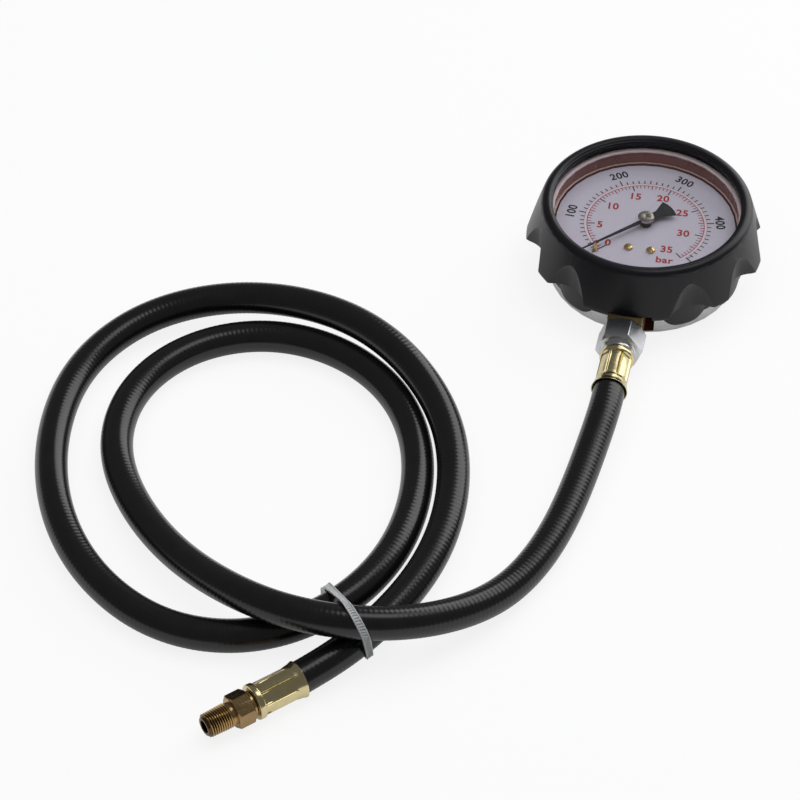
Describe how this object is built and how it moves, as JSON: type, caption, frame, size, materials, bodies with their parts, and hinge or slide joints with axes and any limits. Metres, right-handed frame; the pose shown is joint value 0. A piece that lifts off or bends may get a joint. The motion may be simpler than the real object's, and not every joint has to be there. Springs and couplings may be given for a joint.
{
  "type": "cylinder pressure gauge",
  "caption": "Bourdon-tube dial gauge in a scalloped rubber boot, with a coiled crimped hose that ends in a male pipe thread.",
  "frame": {"origin": "centre of the case's flat back pad, on the dial's axis; the gauge lies on its back at z = 0", "axes": "+Z out of the dial towards the reader, -Y along the socket and the start of the hose, +X to the dial's right"},
  "size_m": [0.2664, 0.3341, 0.0371],
  "materials": {
    "boot_rubber": "matte",
    "bright_steel": "satin",
    "bezel_black": "satin",
    "clear_lens": "gloss",
    "gasket_rubber": "matte",
    "dial_white": "matte",
    "pointer_black": "satin",
    "hub_silver": "satin",
    "brass": "satin",
    "fitting_brass": "satin",
    "tube_bronze": "satin",
    "spring_bronze": "satin",
    "steel": "satin",
    "zinc": "satin",
    "hose_rubber": "satin",
    "tie_nylon": "matte"
  },
  "bodies": {
    "gauge": {"rubber_boot": "boot_rubber", "gauge_case": "bright_steel", "bezel_ring": "bezel_black", "lens": "clear_lens", "lens_gasket": "gasket_rubber", "dial_plate": "dial_white", "dial_screw_left": "brass", "dial_screw_right": "brass", "dial_post_left": "brass", "dial_post_right": "brass", "stop_pin": "brass", "hairspring": "spring_bronze", "lower_plate": "brass", "upper_plate": "brass", "pillar_left": "brass", "pillar_right": "brass", "plate_screw_left": "zinc", "plate_screw_right": "zinc", "case_screw_left": "zinc", "case_screw_right": "zinc", "bourdon_tube": "tube_bronze", "tube_tip": "brass", "socket_block": "brass", "hose_nut": "zinc", "hose_tail": "brass", "near_ferrule": "brass", "far_ferrule": "brass", "far_fitting": "fitting_brass", "hose": "hose_rubber", "zip_tie": "tie_nylon"},
    "sector": {"sector_gear": "brass", "sector_arbor": "steel", "link_pin": "steel"},
    "link_bar": {"link": "steel"},
    "needle": {"pinion_shaft": "steel", "pointer": "pointer_black", "pointer_hub": "hub_silver"}
  },
  "joints": [
    {"name": "sector_swing", "type": "hinge", "parent": "gauge", "child": "sector", "pos_m": [0, 0.0162, 0.0198], "axis": [0, 0, 1], "range_deg": [0, 33.75]},
    {"name": "pointer_turn", "type": "hinge", "parent": "gauge", "child": "needle", "pos_m": [0, 0, 0.0198], "axis": [0, 0, 1], "range_deg": [-270, 0]},
    {"name": "link_pivot", "type": "hinge", "parent": "sector", "child": "link_bar", "pos_m": [-0.00113, 0.0226, 0.0208], "axis": [0, 0, 1], "range_deg": [-33.75, 0]}
  ],
  "couplings": [
    {"joint": "pointer_turn", "follows": "sector_swing", "ratio": -8},
    {"joint": "link_pivot", "follows": "sector_swing", "ratio": -1}
  ]
}
